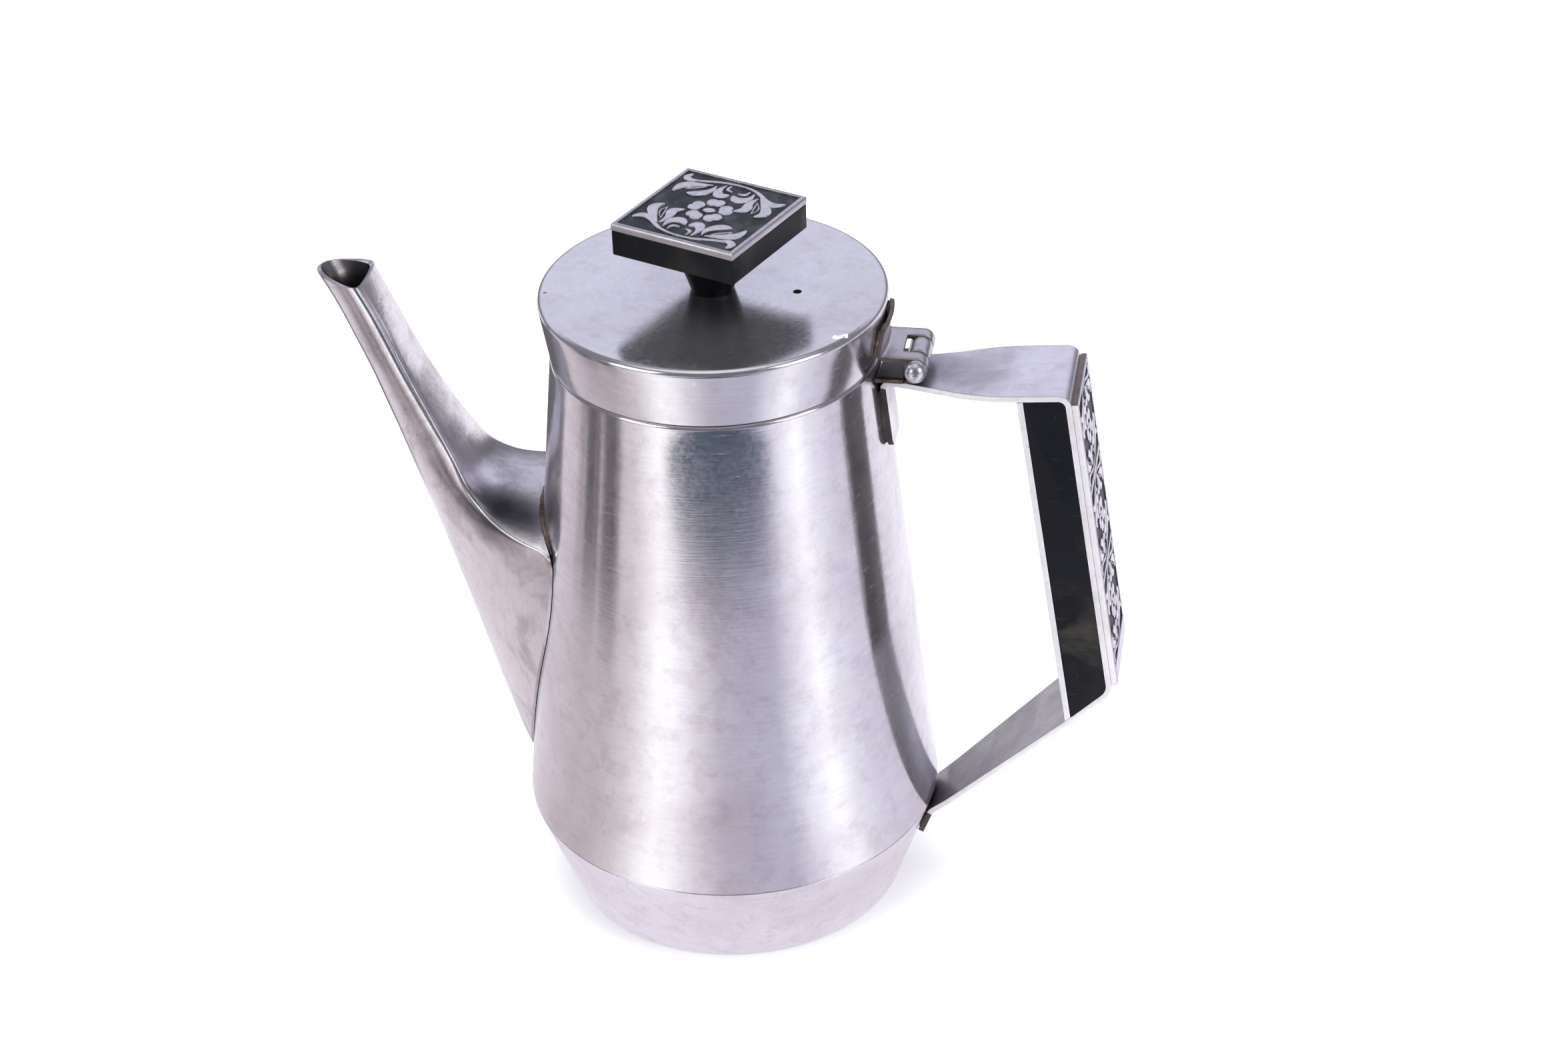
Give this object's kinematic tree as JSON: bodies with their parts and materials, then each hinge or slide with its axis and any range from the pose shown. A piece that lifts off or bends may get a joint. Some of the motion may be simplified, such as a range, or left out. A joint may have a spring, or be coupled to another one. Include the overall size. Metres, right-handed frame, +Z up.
{
  "type": "hinged-lid coffee pot",
  "caption": "Tall double-cone steel coffee pot with a beak spout, hinged flat lid, square relief knob and a bent strap handle with a black grip and relief plaque.",
  "frame": {"origin": "centre of the flat bottom", "axes": "+Z up, -X towards the spout, +X towards the handle, +Y across"},
  "size_m": [0.2024, 0.1086, 0.1946],
  "materials": {
    "brushed_steel": "worn circular brushing with faint mauve stains",
    "raw_steel": "plain, dulled by handling",
    "black_plastic": "satin black",
    "cast_relief": "bright relief over a blackened ground"
  },
  "bodies": {
    "pot": {"body_shell": "brushed_steel", "base_cup": "brushed_steel", "spout_shell": "brushed_steel", "handle_strap": "brushed_steel", "grip_block": "black_plastic", "grip_inner_strip": "brushed_steel", "grip_screw_upper": "raw_steel", "grip_screw_lower": "raw_steel", "handle_plaque": "cast_relief", "hinge_lower_leaf": "raw_steel", "hinge_pin": "raw_steel"},
    "lid": {"lid_shell": "brushed_steel", "lid_collar": "brushed_steel", "hinge_upper_leaf": "raw_steel", "knob_body": "black_plastic", "knob_plaque": "cast_relief", "knob_screw": "raw_steel", "knob_washer": "raw_steel"}
  },
  "joints": [
    {"name": "lid_hinge", "type": "hinge", "parent": "pot", "child": "lid", "pos_m": [0.0507, 0, 0.1581], "axis": [0, 1, 0], "range_deg": [0, 130]}
  ]
}
